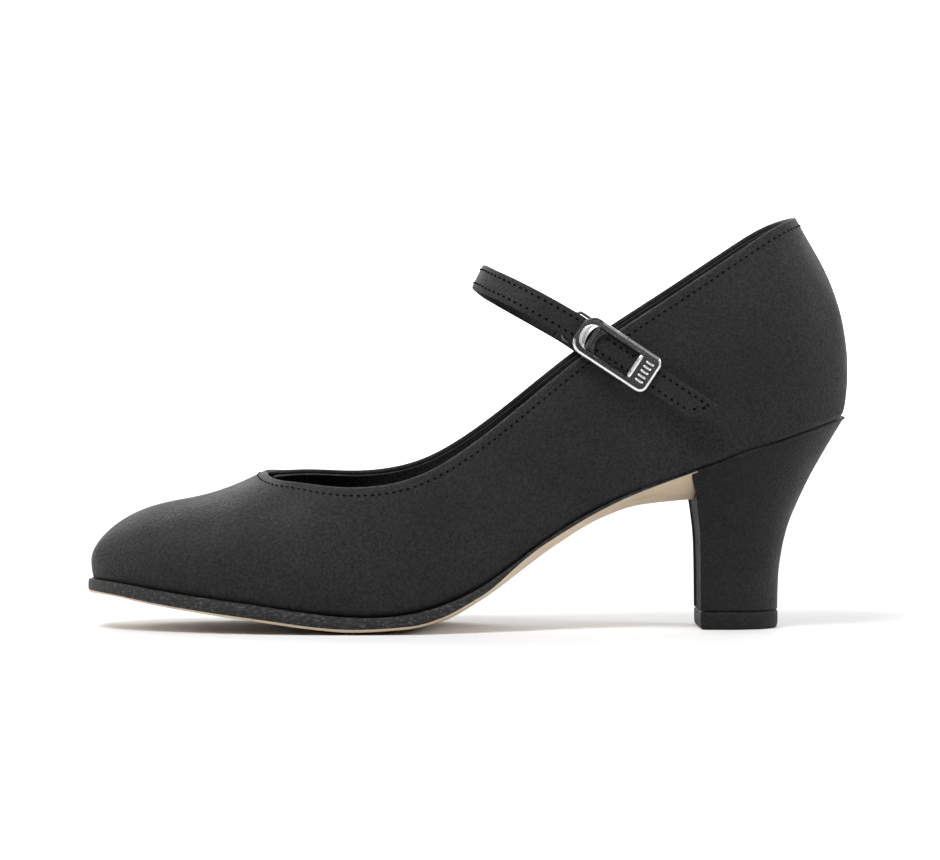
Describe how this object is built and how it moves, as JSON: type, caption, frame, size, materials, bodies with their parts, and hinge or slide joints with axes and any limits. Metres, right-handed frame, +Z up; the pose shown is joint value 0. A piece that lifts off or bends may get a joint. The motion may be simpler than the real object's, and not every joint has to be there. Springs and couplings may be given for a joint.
{
  "type": "heeled strap dance shoe",
  "caption": "Left heeled dance shoe in black leather: closed round toe, instep strap with a sliding quick-release buckle, covered flared heel and thin leather sole.",
  "frame": {"origin": "on the floor, under the middle of the shoe's bounding box", "axes": "+X from the toe towards the heel, +Y towards the inner side of the foot, +Z up"},
  "size_m": [0.2412, 0.0776, 0.1299],
  "materials": {
    "upper_leather": "matte smooth black leather with a fine grain",
    "strap_leather": "matte black leather, two plies, stitched near both edges",
    "heel_leather": "matte black leather stretched over the heel",
    "lining_leather": "thin dark lining leather",
    "suede": "dark napped leather",
    "sock_leather": "smooth dark insole cover",
    "sole_leather": "natural tan sole leather with a black painted edge",
    "stiffener": "stiffened canvas",
    "interlining": "woven backing cloth",
    "cork": "cork filler",
    "board": "pressed fibre board",
    "foam": "soft foam",
    "steel": "plain steel",
    "heel_plastic": "moulded heel core",
    "lift_rubber": "matte black rubber",
    "elastic": "black woven elastic",
    "gunmetal": "dark plated metal with bright edges",
    "bright_metal": "bright nickel plate"
  },
  "bodies": {
    "shoe": {"upper": "upper_leather", "folded_edge": "upper_leather", "strap_root": "strap_leather", "heel_cover": "heel_leather", "heel_breast_cover": "heel_leather", "vamp_lining": "lining_leather", "quarter_lining_lateral": "lining_leather", "quarter_lining_medial": "lining_leather", "heel_grip": "suede", "sock": "sock_leather", "toe_puff": "stiffener", "heel_counter": "stiffener", "upper_interlining": "interlining", "outsole": "sole_leather", "waist_filler": "cork", "bottom_filler": "cork", "insole_board": "board", "foam_insole": "foam", "shank": "steel", "shank_rivets": "steel", "heel_screw": "steel", "heel_nails": "steel", "top_lift_pins": "steel", "heel_block": "heel_plastic", "top_lift": "lift_rubber", "elastic_loop": "elastic"},
    "strap": {"strap": "strap_leather", "strap_lining": "strap_leather"},
    "buckle": {"buckle_frame": "gunmetal", "buckle_base": "gunmetal", "hook_bail": "bright_metal", "clamp_pin": "bright_metal"},
    "clamp_lever": {"clamp_lever": "bright_metal"}
  },
  "joints": [
    {"name": "strap_swing", "type": "hinge", "parent": "shoe", "child": "strap", "pos_m": [0.03608, 0.02025, 0.09244], "axis": [-0.5505, 0, -0.8348], "range_deg": [0, 95], "deforming": ["elastic_loop"]},
    {"name": "buckle_slide", "type": "slide", "parent": "strap", "child": "buckle", "axis": [-0.8347, 0.0175, 0.5504], "range_m": [-0.001, 0.007]},
    {"name": "clamp_lever_lift", "type": "hinge", "parent": "buckle", "child": "clamp_lever", "pos_m": [0.03864, -0.03385, 0.09075], "axis": [-0.5505, 0, -0.8348], "range_deg": [0, 75]}
  ]
}
